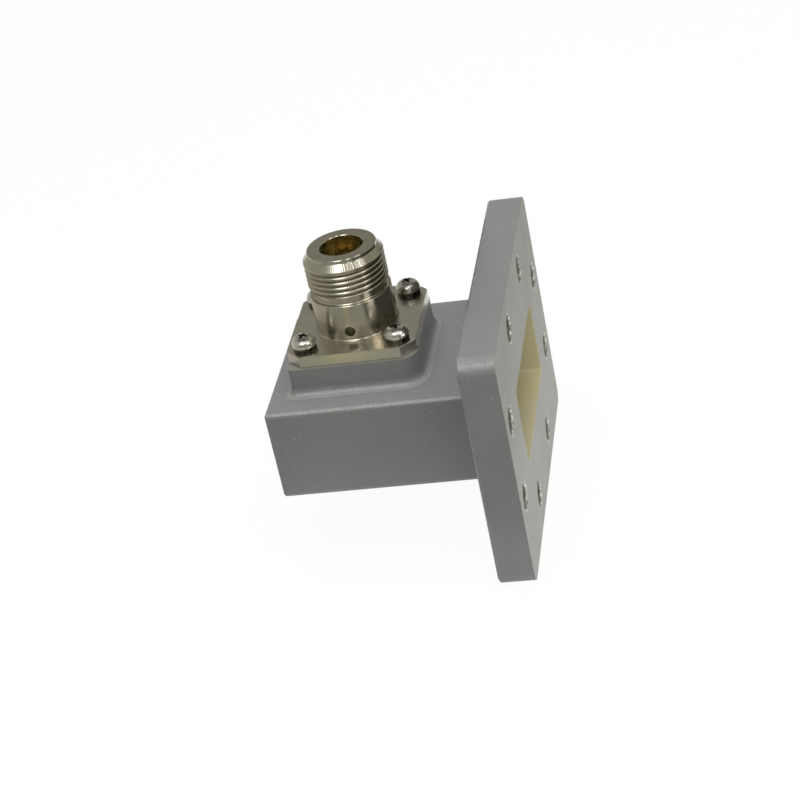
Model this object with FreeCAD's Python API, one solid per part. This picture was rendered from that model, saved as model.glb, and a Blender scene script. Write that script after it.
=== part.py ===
import FreeCAD, Part
import os

# Right-angle waveguide-to-coax adapter, in millimetres, +Z up.
# The origin is the centre of the waveguide's mouth, in the flange's mating face.
# +X leaves the mouth, +Y runs along the waveguide's broad side, and +Z runs up the jack's axis.

# Waveguide section, inside, and the walls around it
WAVEGUIDE_WIDTH = 34.85
WAVEGUIDE_HEIGHT = 15.80
WAVEGUIDE_CORNER_RADIUS = 0.8
SIDE_WALL = 2.05
BROAD_WALL = 1.5
END_WALL = 4.0
BOX_EDGE_RADIUS = 0.6
BOX_END_CHAMFER = 0.4

# Places along the waveguide, measured from the mating face
JACK_TO_FACE = 31.15
JACK_TO_BACKSHORT = 13.45

# Waveguide flange
FLANGE_WIDTH = 68.28
FLANGE_HEIGHT = 49.2
FLANGE_THICKNESS = 7.15
FLANGE_CORNER_RADIUS = 2.5
FLANGE_REAR_CHAMFER = 0.4
BOLT_HOLE_RADIUS = 2.62
BOLT_HOLE_CHAMFER = 0.3
INNER_BOLTS_ALONG_Y = 23.8
INNER_BOLTS_ALONG_Z = 37.3
OUTER_BOLTS_ALONG_Y = 56.34
OUTER_BOLTS_ALONG_Z = 16.66

# Raised pad under the jack
PAD_HEIGHT = 5.84
PAD_MARGIN_ALONG_X = 0.05
PAD_MARGIN_ALONG_Y = 0.5
PAD_FACE_SIDE_RADIUS = 3.4
PAD_END_SIDE_RADIUS = 1.2
PAD_FOOT_RADIUS = 2.0

# Jack shell, outside; heights are above the top of the jack's own flange
JACK_FLANGE_SIDE = 25.4
JACK_FLANGE_THICKNESS = 2.4
JACK_FLANGE_CLIP = 2.8
BARREL_RADIUS = 8.0
BARREL_HEIGHT = 7.35
NECK_RADIUS = 7.1
NECK_HEIGHT = 1.65
THREAD_RADIUS = 7.9
THREAD_LENGTH = 6.77
THREAD_LEAD_HEIGHT = 1.1
THREAD_LEAD_DEPTH = 1.0
RIM_RADIUS = 6.8
RIM_HEIGHT = 0.81

# Jack shell, inside
MOUTH_RADIUS = 4.23
MOUTH_EDGE = 0.15
MOUTH_DEPTH = 9.1
LINE_RADIUS = 3.5
SLEEVE_RADIUS = 3.95
SLEEVE_TOP = 5.5

# Filled cross hole that locks the sleeve and the contact in the shell
PLUG_RADIUS = 1.05
PLUG_HEIGHT = 1.9
PLUG_RECESS = 0.5

# Inner conductor
CONTACT_RADIUS = 1.52
CONTACT_DEPTH = 3.9
CONTACT_TIP_EDGE = 0.25
SOCKET_RADIUS = 0.84
SOCKET_DEPTH = 6.2
SLOT_WIDTH = 0.3
SLOT_DEPTH = 5.0
STEM_RADIUS = 1.2
TAIL_RADIUS = 0.65
TAIL_LENGTH = 5.0

# Probe in the waveguide
PROBE_RADIUS = 2.2
PROBE_LENGTH = 8.6
PROBE_TIP_CHAMFER = 0.6

# Screws and spring washers that hold the jack
SCREW_SPACING = 18.26
SCREW_RADIUS = 1.25
SCREW_LENGTH = 8.0
SCREW_HOLE_CLEARANCE = 0.15
TAPPED_HOLE_CLEARANCE = 0.03
TAPPED_HOLE_SPARE_DEPTH = 0.8
HEAD_RADIUS = 2.42
HEAD_SIDE_HEIGHT = 0.9
HEAD_TOP_RADIUS = 1.5
HEAD_HEIGHT = 2.05
RECESS_SPAN = 2.5
RECESS_WIDTH = 0.6
RECESS_DEPTH = 1.2
WASHER_RADIUS = 2.3
WASHER_BORE_CLEARANCE = 0.1
WASHER_THICKNESS = 0.8
WASHER_GAP = 0.5
WASHER_GAP_LEAN = 35.0
WASHER_GAP_TURN = 40.0

# Levels and places that follow from the sizes above
BOX_WIDTH = WAVEGUIDE_WIDTH + 2 * SIDE_WALL
BOX_HEIGHT = WAVEGUIDE_HEIGHT + 2 * BROAD_WALL
BOX_TOP = BOX_HEIGHT / 2
CEILING = WAVEGUIDE_HEIGHT / 2
PAD_TOP = BOX_TOP + PAD_HEIGHT
JACK_X = -JACK_TO_FACE
BACKSHORT_X = JACK_X - JACK_TO_BACKSHORT
BOX_END_X = BACKSHORT_X - END_WALL
JACK_DATUM = PAD_TOP + JACK_FLANGE_THICKNESS
BARREL_TOP = JACK_DATUM + BARREL_HEIGHT
THREAD_START = BARREL_TOP + NECK_HEIGHT
THREAD_END = THREAD_START + THREAD_LENGTH
RIM_TOP = THREAD_END + RIM_HEIGHT
MOUTH_FLOOR = RIM_TOP - MOUTH_DEPTH
SLEEVE_TOP_Z = JACK_DATUM + SLEEVE_TOP
PLUG_Z = JACK_DATUM + PLUG_HEIGHT
CONTACT_TOP = RIM_TOP - CONTACT_DEPTH
HEAD_SEAT = JACK_DATUM + WASHER_THICKNESS
SCREW_TIP = HEAD_SEAT - SCREW_LENGTH
OVERCUT = 1.0
SAME_PLACE = 1e-6

UP = FreeCAD.Vector(0, 0, 1)
ALONG_X = FreeCAD.Vector(1, 0, 0)
TOWARDS_FRONT = FreeCAD.Vector(0, -1, 0)


def box(x_low, x_high, y_low, y_high, z_low, z_high):
    """A block between two corners."""
    size = (x_high - x_low, y_high - y_low, z_high - z_low)
    return Part.makeBox(*size, FreeCAD.Vector(x_low, y_low, z_low))


def cylinder(radius, z_low, z_high, x=JACK_X, y=0.0):
    """An upright cylinder, on the jack's axis unless it is placed elsewhere."""
    return Part.makeCylinder(radius, z_high - z_low, FreeCAD.Vector(x, y, z_low), UP)


def turned(outline, x=JACK_X, y=0.0):
    """A solid turned about an upright axis from an outline of (radius, z) points."""
    points = [FreeCAD.Vector(x + radius, y, z) for radius, z in outline]
    face = Part.Face(Part.makePolygon(points + points[:1]))
    return face.revolve(FreeCAD.Vector(x, y, 0), UP, 360)


def edges_along(shape, direction, keep):
    """The straight edges of a shape that run along a direction and whose middle passes a test."""
    found = []
    for edge in shape.Edges:
        if not isinstance(edge.Curve, Part.Line):
            continue
        if abs(abs(edge.Curve.Direction.dot(direction)) - 1) > SAME_PLACE:
            continue
        if keep(edge.CenterOfMass):
            found.append(edge)
    return found


def rectangle_corners(along_first, along_second):
    """The four corners of a rectangle that is centred on zero."""
    return [(i * along_first / 2, j * along_second / 2) for i in (-1, 1) for j in (-1, 1)]


def screw_places():
    """The (x, y) of the four screws that hold the jack."""
    return [(JACK_X + x, y) for x, y in rectangle_corners(SCREW_SPACING, SCREW_SPACING)]


def flange_plate():
    """The flange without its openings: rounded corners, and a chamfer round its rear face."""
    half_width = FLANGE_WIDTH / 2
    half_height = FLANGE_HEIGHT / 2
    plate = box(-FLANGE_THICKNESS, 0, -half_width, half_width, -half_height, half_height)
    plate = plate.makeFillet(FLANGE_CORNER_RADIUS, edges_along(plate, ALONG_X, lambda middle: True))
    rear = [edge for edge in plate.Edges if abs(edge.CenterOfMass.x + FLANGE_THICKNESS) < SAME_PLACE]
    return plate.makeChamfer(FLANGE_REAR_CHAMFER, rear)


def bolt_holes():
    """The eight bolt holes through the flange, each with a small chamfer at its mating-face end."""
    places = rectangle_corners(INNER_BOLTS_ALONG_Y, INNER_BOLTS_ALONG_Z)
    places += rectangle_corners(OUTER_BOLTS_ALONG_Y, OUTER_BOLTS_ALONG_Z)
    holes = []
    for y, z in places:
        start = FreeCAD.Vector(-FLANGE_THICKNESS - OVERCUT, y, z)
        hole = Part.makeCylinder(BOLT_HOLE_RADIUS, FLANGE_THICKNESS + 2 * OVERCUT, start, ALONG_X)
        chamfer = Part.makeCone(
            BOLT_HOLE_RADIUS,
            BOLT_HOLE_RADIUS + BOLT_HOLE_CHAMFER,
            BOLT_HOLE_CHAMFER,
            FreeCAD.Vector(-BOLT_HOLE_CHAMFER, y, z),
            ALONG_X,
        )
        holes.append(hole.fuse(chamfer))
    return holes


def waveguide_box():
    """The closed box behind the flange, its long edges rounded and its end chamfered."""
    half_width = BOX_WIDTH / 2
    block = box(BOX_END_X, -FLANGE_THICKNESS / 2, -half_width, half_width, -BOX_TOP, BOX_TOP)
    block = block.makeFillet(BOX_EDGE_RADIUS, edges_along(block, ALONG_X, lambda middle: True))
    end = [edge for edge in block.Edges if abs(edge.CenterOfMass.x - BOX_END_X) < SAME_PLACE]
    return block.makeChamfer(BOX_END_CHAMFER, end)


def pad_block():
    """The raised pad, broad corners towards the waveguide flange and tight ones towards the end."""
    half_length = JACK_FLANGE_SIDE / 2 + PAD_MARGIN_ALONG_X
    half_width = JACK_FLANGE_SIDE / 2 + PAD_MARGIN_ALONG_Y
    pad = box(JACK_X - half_length, JACK_X + half_length, -half_width, half_width, CEILING, PAD_TOP)
    face_side = edges_along(pad, UP, lambda middle: middle.x > JACK_X)
    pad = pad.makeFillet(PAD_FACE_SIDE_RADIUS, face_side)
    end_side = edges_along(pad, UP, lambda middle: middle.x < JACK_X - half_length + SAME_PLACE)
    return pad.makeFillet(PAD_END_SIDE_RADIUS, end_side)


def with_pad_foot(casting):
    """The casting with a fillet where the pad meets the top of the box."""
    reach_x = JACK_FLANGE_SIDE / 2 + PAD_MARGIN_ALONG_X
    reach_y = JACK_FLANGE_SIDE / 2 + PAD_MARGIN_ALONG_Y
    foot = []
    for edge in casting.Edges:
        middle = edge.CenterOfMass
        level = abs(middle.z - BOX_TOP) < SAME_PLACE
        along = abs(middle.x - JACK_X) < reach_x + SAME_PLACE
        across = abs(middle.y) < reach_y + SAME_PLACE
        if level and along and across:
            foot.append(edge)
    return casting.makeFillet(PAD_FOOT_RADIUS, foot)


def waveguide_cavity():
    """The space inside the waveguide, from its closed end out through the mating face."""
    half_width = WAVEGUIDE_WIDTH / 2
    space = box(BACKSHORT_X, OVERCUT, -half_width, half_width, -CEILING, CEILING)
    return space.makeFillet(WAVEGUIDE_CORNER_RADIUS, edges_along(space, ALONG_X, lambda middle: True))


def waveguide_body():
    """The casting: flange, box, pad, waveguide cavity, coax passage and the screws' holes."""
    casting = flange_plate().fuse([waveguide_box(), pad_block()]).removeSplitter()
    casting = with_pad_foot(casting)
    cuts = [waveguide_cavity()]
    cuts.append(cylinder(SLEEVE_RADIUS, CEILING - OVERCUT, PAD_TOP + OVERCUT))
    for x, y in screw_places():
        floor = SCREW_TIP - TAPPED_HOLE_SPARE_DEPTH
        cuts.append(cylinder(SCREW_RADIUS + TAPPED_HOLE_CLEARANCE, floor, PAD_TOP + OVERCUT, x, y))
    return casting.cut(cuts + bolt_holes())


def clipped_plate():
    """The jack's square flange with its four corners clipped at 45 degrees."""
    half = JACK_FLANGE_SIDE / 2
    near = half - JACK_FLANGE_CLIP
    outline = [(half, -near), (half, near), (near, half), (-near, half)]
    outline += [(-x, -y) for x, y in outline]
    points = [FreeCAD.Vector(JACK_X + x, y, PAD_TOP) for x, y in outline]
    face = Part.Face(Part.makePolygon(points + points[:1]))
    return face.extrude(UP * JACK_FLANGE_THICKNESS)


def jack_shell():
    """The jack's shell: clipped flange, barrel, relief neck, major diameter, rim and stepped bore."""
    barrel = [
        (0, JACK_DATUM - JACK_FLANGE_THICKNESS / 2),
        (BARREL_RADIUS, JACK_DATUM - JACK_FLANGE_THICKNESS / 2),
        (BARREL_RADIUS, BARREL_TOP),
        (NECK_RADIUS, BARREL_TOP),
        (NECK_RADIUS, THREAD_START),
        (THREAD_RADIUS, THREAD_START),
        (THREAD_RADIUS, THREAD_END - THREAD_LEAD_HEIGHT),
        (THREAD_RADIUS - THREAD_LEAD_DEPTH, THREAD_END),
        (RIM_RADIUS, THREAD_END),
        (RIM_RADIUS, RIM_TOP),
        (0, RIM_TOP),
    ]
    bore = [
        (0, PAD_TOP - OVERCUT),
        (SLEEVE_RADIUS, PAD_TOP - OVERCUT),
        (SLEEVE_RADIUS, SLEEVE_TOP_Z),
        (LINE_RADIUS, SLEEVE_TOP_Z),
        (LINE_RADIUS, MOUTH_FLOOR),
        (MOUTH_RADIUS, MOUTH_FLOOR),
        (MOUTH_RADIUS, RIM_TOP - MOUTH_EDGE),
        (MOUTH_RADIUS + MOUTH_EDGE + OVERCUT, RIM_TOP + OVERCUT),
        (0, RIM_TOP + OVERCUT),
    ]
    cuts = [turned(bore), cross_hole(BARREL_RADIUS + OVERCUT)]
    hole_radius = SCREW_RADIUS + SCREW_HOLE_CLEARANCE
    for x, y in screw_places():
        cuts.append(cylinder(hole_radius, PAD_TOP - OVERCUT, JACK_DATUM + OVERCUT, x, y))
    return clipped_plate().fuse(turned(barrel)).cut(cuts)


def cross_hole(reach):
    """A cylinder from the stem out towards the front, as far as a reach from the jack's axis."""
    start = FreeCAD.Vector(JACK_X, -STEM_RADIUS, PLUG_Z)
    return Part.makeCylinder(PLUG_RADIUS, reach - STEM_RADIUS, start, TOWARDS_FRONT)


def captivation_plug():
    """The filling of the cross hole, a little below the barrel's surface."""
    stem = cylinder(STEM_RADIUS, PLUG_Z - 2 * PLUG_RADIUS, PLUG_Z + 2 * PLUG_RADIUS)
    return cross_hole(BARREL_RADIUS - PLUG_RECESS).cut(stem)


def dielectric_sleeve():
    """The sleeve between shell or casting and stem, level with the waveguide's ceiling."""
    sleeve = cylinder(SLEEVE_RADIUS, CEILING, SLEEVE_TOP_Z)
    stem = cylinder(STEM_RADIUS, CEILING - OVERCUT, SLEEVE_TOP_Z + OVERCUT)
    return sleeve.cut([stem, cross_hole(BARREL_RADIUS)])


def centre_contact():
    """The slotted socket, its stem through the sleeve and the thin tail that carries the probe."""
    solid = turned([
        (0, CEILING - TAIL_LENGTH),
        (TAIL_RADIUS, CEILING - TAIL_LENGTH),
        (TAIL_RADIUS, CEILING),
        (STEM_RADIUS, CEILING),
        (STEM_RADIUS, SLEEVE_TOP_Z),
        (CONTACT_RADIUS, SLEEVE_TOP_Z),
        (CONTACT_RADIUS, CONTACT_TOP - CONTACT_TIP_EDGE),
        (CONTACT_RADIUS - CONTACT_TIP_EDGE, CONTACT_TOP),
        (0, CONTACT_TOP),
    ])
    socket = cylinder(SOCKET_RADIUS, CONTACT_TOP - SOCKET_DEPTH, CONTACT_TOP + OVERCUT)
    reach = CONTACT_RADIUS + OVERCUT
    half = SLOT_WIDTH / 2
    low = CONTACT_TOP - SLOT_DEPTH
    high = CONTACT_TOP + OVERCUT
    slots = [
        box(JACK_X - reach, JACK_X + reach, -half, half, low, high),
        box(JACK_X - half, JACK_X + half, -reach, reach, low, high),
    ]
    return solid.cut([socket] + slots)


def coupling_probe():
    """The rod that hangs from the ceiling into the waveguide, with a chamfered tip."""
    low = CEILING - PROBE_LENGTH
    rod = turned([
        (0, low),
        (PROBE_RADIUS - PROBE_TIP_CHAMFER, low),
        (PROBE_RADIUS, low + PROBE_TIP_CHAMFER),
        (PROBE_RADIUS, CEILING),
        (0, CEILING),
    ])
    return rod.cut(cylinder(TAIL_RADIUS, CEILING - TAIL_LENGTH, CEILING + OVERCUT))


def pan_head_screw(x, y):
    """One screw: a plain shank at the thread's size, and a pan head with a cross recess."""
    top = HEAD_SEAT + HEAD_HEIGHT
    blank = turned([
        (0, SCREW_TIP),
        (SCREW_RADIUS, SCREW_TIP),
        (SCREW_RADIUS, HEAD_SEAT),
        (HEAD_RADIUS, HEAD_SEAT),
        (HEAD_RADIUS, HEAD_SEAT + HEAD_SIDE_HEIGHT),
        (HEAD_TOP_RADIUS, top),
        (0, top),
    ], x, y)
    half_span = RECESS_SPAN / 2
    half_width = RECESS_WIDTH / 2
    floor = top - RECESS_DEPTH
    along_x = box(x - half_span, x + half_span, y - half_width, y + half_width, floor, top + OVERCUT)
    along_y = box(x - half_width, x + half_width, y - half_span, y + half_span, floor, top + OVERCUT)
    return blank.cut([along_x, along_y])


def spring_washer(x, y):
    """One split washer, its gap leaning like the real one's."""
    bore_radius = SCREW_RADIUS + WASHER_BORE_CLEARANCE
    bore = cylinder(bore_radius, JACK_DATUM - OVERCUT, HEAD_SEAT + OVERCUT, x, y)
    ring = cylinder(WASHER_RADIUS, JACK_DATUM, HEAD_SEAT, x, y).cut(bore)
    middle = FreeCAD.Vector(x, y, (JACK_DATUM + HEAD_SEAT) / 2)
    half_gap = WASHER_GAP / 2
    reach = WASHER_THICKNESS + 2 * OVERCUT
    front = y - WASHER_RADIUS - OVERCUT
    gap = box(x - half_gap, x + half_gap, front, y, middle.z - reach, middle.z + reach)
    gap.rotate(middle, FreeCAD.Vector(0, 1, 0), WASHER_GAP_LEAN)
    gap.rotate(middle, UP, WASHER_GAP_TURN)
    return ring.cut(gap)


def group(pieces):
    """Like pieces in one shape, each still a solid of its own."""
    return Part.makeCompound(pieces)


PIECES = {
    "waveguide_body": waveguide_body,
    "jack_shell": jack_shell,
    "dielectric_sleeve": dielectric_sleeve,
    "centre_contact": centre_contact,
    "captivation_plug": captivation_plug,
    "coupling_probe": coupling_probe,
    "connector_screws": lambda: group([pan_head_screw(x, y) for x, y in screw_places()]),
    "spring_washers": lambda: group([spring_washer(x, y) for x, y in screw_places()]),
}

os.makedirs("parts", exist_ok=True)
for name, build in PIECES.items():
    piece = build()
    piece.exportStep(f"parts/{name}.step")
    print(name, "solids", len(piece.Solids), "valid", piece.isValid(), "volume", round(piece.Volume, 2))
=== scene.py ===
"""Looks for a right-angle waveguide-to-coax adapter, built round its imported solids.

Lengths are in millimetres. A piece is made at that scale, with the jack's axis or a screw's axis on
the world's Z axis, and is then put in its place and brought to metres in its own mesh.
"""

import sys

import logging
import math
from dataclasses import dataclass
from enum import Enum
from typing import Callable, Optional, Union

import bmesh
import bpy
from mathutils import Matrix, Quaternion, Vector


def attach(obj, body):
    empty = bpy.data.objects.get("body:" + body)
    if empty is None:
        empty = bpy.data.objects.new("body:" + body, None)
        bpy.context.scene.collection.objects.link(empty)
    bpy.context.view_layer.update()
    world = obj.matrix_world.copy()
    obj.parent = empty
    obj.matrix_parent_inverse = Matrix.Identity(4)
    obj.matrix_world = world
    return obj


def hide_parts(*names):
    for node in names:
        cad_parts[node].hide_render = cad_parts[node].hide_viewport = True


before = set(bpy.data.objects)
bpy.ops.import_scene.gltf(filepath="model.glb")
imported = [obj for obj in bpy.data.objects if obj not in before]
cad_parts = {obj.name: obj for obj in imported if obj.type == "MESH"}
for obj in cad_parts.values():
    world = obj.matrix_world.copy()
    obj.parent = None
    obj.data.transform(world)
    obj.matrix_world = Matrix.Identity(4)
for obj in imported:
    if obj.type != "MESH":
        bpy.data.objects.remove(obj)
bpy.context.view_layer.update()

LOG = logging.getLogger("waveguide_adapter")
BODY = "root"
METRES = 0.001
MILLIMETRES = 1000.0
FULL_TURN = 2 * math.pi
QUARTER_TURN = math.pi / 2

# Distances at which vertices count as one, in a new piece and after cuts
NEAR = 1e-4
MERGE = 5e-4

# Edges below this many degrees are shaded smooth, on flat-sided pieces and on domed ones
SMOOTH_BELOW = 32.0
DOMED_BELOW = 40.0

# How far a cutter runs past what it cuts
OVERCUT = 1.0

# The jack's axis, the top of its own flange, and its four screws
JACK_X = -31.15
JACK_DATUM = 17.64
SCREW_SPACING = 18.26
CORNERS = ((-1, -1), (-1, 1), (1, -1), (1, 1))

# What the lamps point at
ADAPTER_MIDDLE = (-25.0, 0.0, 5.0)

Colour = tuple[float, float, float]
Point = tuple[float, float]
Place = tuple[float, float, float]
Piece = bpy.types.Object
Edge = bmesh.types.BMEdge
Socket = bpy.types.NodeSocket
Material = bpy.types.Material
Tint = Union[Colour, Socket]
Owner = Union[Material, bpy.types.World]

ORIGIN: Place = (0.0, 0.0, 0.0)
WHITE: Colour = (1.0, 1.0, 1.0)


class Part(Enum):
    """What an edit-mode selection is made of."""

    VERTEX = "VERT"
    EDGE = "EDGE"
    FACE = "FACE"


class Join(Enum):
    """How one solid changes another."""

    CUT = "DIFFERENCE"
    ADD = "UNION"


def colour_of(red: int, green: int, blue: int) -> Colour:
    """Turn a screen colour of 0 to 255 a channel into a linear one.

    Args:
        red: The red channel.
        green: The green channel.
        blue: The blue channel.

    Returns:
        The linear colour.
    """
    linear = []
    for channel in (red, green, blue):
        share = channel / 255.0
        linear.append(share / 12.92 if share <= 0.04045 else ((share + 0.055) / 1.055) ** 2.4)
    return tuple(linear)


# The bench: operators that shape a mesh


def deselect() -> None:
    """Leave edit mode and deselect every object."""
    active = bpy.context.view_layer.objects.active
    if active is not None and active.mode != "OBJECT":
        bpy.ops.object.mode_set(mode="OBJECT")
    bpy.ops.object.select_all(action="DESELECT")


def take(piece: Piece) -> None:
    """Make a piece the only selected one, and the active one."""
    deselect()
    piece.select_set(True)
    bpy.context.view_layer.objects.active = piece


def edit(piece: Piece, everything: bool = False) -> None:
    """Enter edit mode on a piece with nothing or everything selected."""
    take(piece)
    bpy.ops.object.mode_set(mode="EDIT")
    bpy.ops.mesh.select_mode(type="VERT")
    bpy.ops.mesh.select_all(action="SELECT" if everything else "DESELECT")


def done() -> Piece:
    """Leave edit mode and return the active piece."""
    bpy.ops.object.mode_set(mode="OBJECT")
    return bpy.context.view_layer.objects.active


def newest(name: str) -> Piece:
    """Name the object that an operator has just added."""
    made = bpy.context.object
    made.name = name
    return made


def fix(piece: Piece) -> Piece:
    """Put a piece's place, turn and scale into its mesh."""
    take(piece)
    bpy.ops.object.transform_apply(location=True, rotation=True, scale=True)
    return piece


def pick(part: Part, test: Callable) -> int:
    """Select in edit mode what passes a test, and nothing else.

    Args:
        part: Whether vertices, edges or faces are tested.
        test: Takes one bmesh element and says whether it is wanted.

    Returns:
        How many were selected.
    """
    bpy.ops.mesh.select_mode(type=part.value)
    bpy.ops.mesh.select_all(action="DESELECT")
    mesh = bpy.context.edit_object.data
    cage = bmesh.from_edit_mesh(mesh)
    groups = {Part.VERTEX: cage.verts, Part.EDGE: cage.edges, Part.FACE: cage.faces}
    wanted = [element for element in groups[part] if test(element)]
    for element in wanted:
        element.select_set(True)
    bmesh.update_edit_mesh(mesh)
    return len(wanted)


def middle(edge: Edge) -> Vector:
    """The middle point of an edge."""
    return (edge.verts[0].co + edge.verts[1].co) / 2


def upright(edge: Edge) -> bool:
    """Whether an edge runs along Z."""
    run = edge.verts[1].co - edge.verts[0].co
    return abs(run.z) > 0.999 * run.length


def block(name: str, size: Place, place: Place = ORIGIN) -> Piece:
    """Add a box at its size and place, with its scale in its mesh.

    Args:
        name: The new object's name.
        size: Its length along each axis.
        place: Its middle.

    Returns:
        The new box.
    """
    deselect()
    bpy.ops.mesh.primitive_cube_add(size=1.0, location=place, scale=size)
    return fix(newest(name))


def rod(name: str, radius: float, low: Place, depth: float, sides: int) -> Piece:
    """Add an upright rod that stands on a point.

    Args:
        name: The new object's name.
        radius: The rod's radius.
        low: The middle of its lower end.
        depth: Its height.
        sides: How many sides it has.

    Returns:
        The new rod.
    """
    deselect()
    at = (low[0], low[1], low[2] + depth / 2)
    bpy.ops.mesh.primitive_cylinder_add(vertices=sides, radius=radius, depth=depth, location=at)
    return fix(newest(name))


def chain(name: str, outline: list[Point], closed: bool) -> Piece:
    """Draw an outline of (radius, height) points in the XZ plane, point by point.

    Args:
        name: The new object's name.
        outline: The points, in order.
        closed: Whether the last point is joined to the first.

    Returns:
        The new object, a line of edges.
    """
    deselect()
    bpy.ops.mesh.primitive_plane_add(size=1.0)
    made = newest(name)
    edit(made, everything=True)
    bpy.ops.mesh.merge(type="CENTER")
    bpy.ops.transform.translate(value=(outline[0][0], 0.0, outline[0][1]))
    for before, after in zip(outline, outline[1:]):
        step = (after[0] - before[0], 0.0, after[1] - before[1])
        bpy.ops.mesh.extrude_region_move(TRANSFORM_OT_translate={"value": step})
    if closed:
        ends = [Vector((radius, 0.0, height)) for radius, height in (outline[0], outline[-1])]
        pick(Part.VERTEX, lambda vertex: min((vertex.co - end).length for end in ends) < NEAR)
        bpy.ops.mesh.edge_face_add()
    return done()


def tidy_normals(piece: Piece, reach: float = NEAR) -> None:
    """Merge doubled vertices and make every face point outwards."""
    edit(piece, everything=True)
    bpy.ops.mesh.remove_doubles(threshold=reach)
    bpy.ops.mesh.normals_make_consistent(inside=False)
    done()


def turned(name: str, outline: list[Point], steps: int, closed: bool = False) -> Piece:
    """Spin an outline about the Z axis into a closed solid.

    Args:
        name: The new object's name.
        outline: Points of (radius, height); open outlines start and end on the axis.
        steps: How many steps make the full turn.
        closed: Whether the outline is a ring that stays clear of the axis.

    Returns:
        The turned piece.
    """
    made = chain(name, outline, closed)
    edit(made, everything=True)
    bpy.ops.mesh.spin(steps=steps, angle=FULL_TURN, center=(0, 0, 0), axis=(0, 0, 1))
    done()
    tidy_normals(made)
    return made


def apply(piece: Piece, kind: str, settings: dict) -> None:
    """Add a modifier to a piece, set it and apply it.

    Args:
        piece: The piece to change.
        kind: The modifier's type.
        settings: Its settings by name.
    """
    take(piece)
    modifier = piece.modifiers.new(kind.lower(), kind)
    for key, value in settings.items():
        setattr(modifier, key, value)
    bpy.ops.object.modifier_apply(modifier=modifier.name)


def join(piece: Piece, tool: Piece, how: Join) -> None:
    """Cut a piece with a tool or add the tool to it, and throw the tool away."""
    apply(piece, "BOOLEAN", {"operation": how.value, "solver": "EXACT", "object": tool})
    bpy.data.objects.remove(tool)


def copy_of(piece: Piece, name: str) -> Piece:
    """A copy of a piece with a mesh of its own."""
    made = bpy.data.objects.new(name, piece.data.copy())
    bpy.context.scene.collection.objects.link(made)
    return made


def smooth(piece: Piece, degrees: float) -> None:
    """Shade a piece smooth, with edges over an angle kept sharp."""
    take(piece)
    bpy.ops.object.shade_smooth_by_angle(angle=math.radians(degrees))


def even_shading(piece: Piece) -> None:
    """Shade a piece smooth up to its sharp edges, and keep its flat faces flat."""
    smooth(piece, SMOOTH_BELOW)
    apply(piece, "WEIGHTED_NORMAL", {"keep_sharp": True, "weight": 50})


def settle(piece: Piece, place: Place, turn: float = 0.0) -> None:
    """Turn a finished piece about Z, put it in its place and bring it to metres, all in its mesh.

    Args:
        piece: The piece, in millimetres.
        place: Where its origin goes.
        turn: Its turn about Z, in degrees.
    """
    piece.rotation_euler = (0.0, 0.0, math.radians(turn))
    piece.location = Vector(place) * METRES
    piece.scale = (METRES, METRES, METRES)
    fix(piece)


def at_screws(first: Piece, name: str, level: float, turns: tuple[float, ...]) -> list[Piece]:
    """Copy a piece and settle it at each of the jack's four screws.

    Args:
        first: The piece, on the Z axis.
        name: What each one is called, before its number.
        level: The height of its origin.
        turns: Each one's turn about Z, in degrees.

    Returns:
        The four pieces.
    """
    pieces = [first] + [copy_of(first, f"{name}_{number}") for number in (2, 3, 4)]
    for piece, (i, j), turn in zip(pieces, CORNERS, turns):
        settle(piece, (JACK_X + i * SCREW_SPACING / 2, j * SCREW_SPACING / 2, level), turn)
    return pieces


# Shader maths


def darker(tone: Colour, share: float) -> Colour:
    """A colour with each channel brought down to a share of itself."""
    return tuple(channel * share for channel in tone)


class Wire:
    """A number that comes out of a node and can be used in Python expressions."""

    def __init__(self, graph: "Nodes", socket: Socket) -> None:
        """Keep the graph and the socket that the number comes from."""
        self.graph = graph
        self.socket = socket

    def __add__(self, other: "Value") -> "Wire":
        """This plus another."""
        return self.graph.maths("ADD", self, other)

    def __sub__(self, other: "Value") -> "Wire":
        """This less another."""
        return self.graph.maths("SUBTRACT", self, other)

    def __rsub__(self, other: "Value") -> "Wire":
        """Another less this."""
        return self.graph.maths("SUBTRACT", other, self)

    def __mul__(self, other: "Value") -> "Wire":
        """This times another."""
        return self.graph.maths("MULTIPLY", self, other)

    def __abs__(self) -> "Wire":
        """This without its sign."""
        return self.graph.maths("ABSOLUTE", self)

    __radd__ = __add__
    __rmul__ = __mul__

    def most(self, other: "Value") -> "Wire":
        """The larger of this and another."""
        return self.graph.maths("MAXIMUM", self, other)

    def least(self, other: "Value") -> "Wire":
        """The smaller of this and another."""
        return self.graph.maths("MINIMUM", self, other)

    def rise(self, low: float, high: float) -> "Wire":
        """A soft step: 0 where this is at low, 1 where it is at high.

        Args:
            low: Where the step starts.
            high: Where it ends; below low for a step that falls.

        Returns:
            The step, between 0 and 1.
        """
        settings = {"interpolation_type": "SMOOTHSTEP"}
        sockets = {0: self, 1: low, 2: high, 3: 0.0, 4: 1.0}
        if low > high:
            sockets = {0: self, 1: high, 2: low, 3: 1.0, 4: 0.0}
        return Wire(self.graph, self.graph.node("ShaderNodeMapRange", settings, sockets).outputs[0])


Value = Union[Wire, float]


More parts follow.
